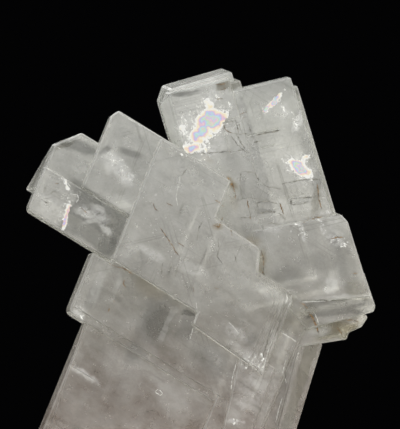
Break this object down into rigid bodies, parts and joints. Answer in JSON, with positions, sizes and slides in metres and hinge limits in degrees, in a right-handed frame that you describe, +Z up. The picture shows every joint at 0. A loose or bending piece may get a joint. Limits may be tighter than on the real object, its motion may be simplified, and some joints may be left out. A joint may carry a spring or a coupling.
{
  "type": "twinned calcite crystal",
  "caption": "Freestanding contact-twinned calcite crystal: two crossed stacks of flat rhombohedral plates with stepped growth ledges, cut off flat at the base.",
  "frame": {"origin": "middle of the bottom of the bounding box, on the plane of the flat base", "axes": "+Z up, the broad crystal faces look towards -Y, +X to the right as seen from the front"},
  "size_m": [0.0642, 0.0256, 0.0735],
  "materials": {
    "calcite": "clear to milky natural crystal faces, glossy, with growth steps and cleavage cracks"
  },
  "bodies": {
    "root": {"calcite_twin": "calcite"}
  },
  "joints": []
}
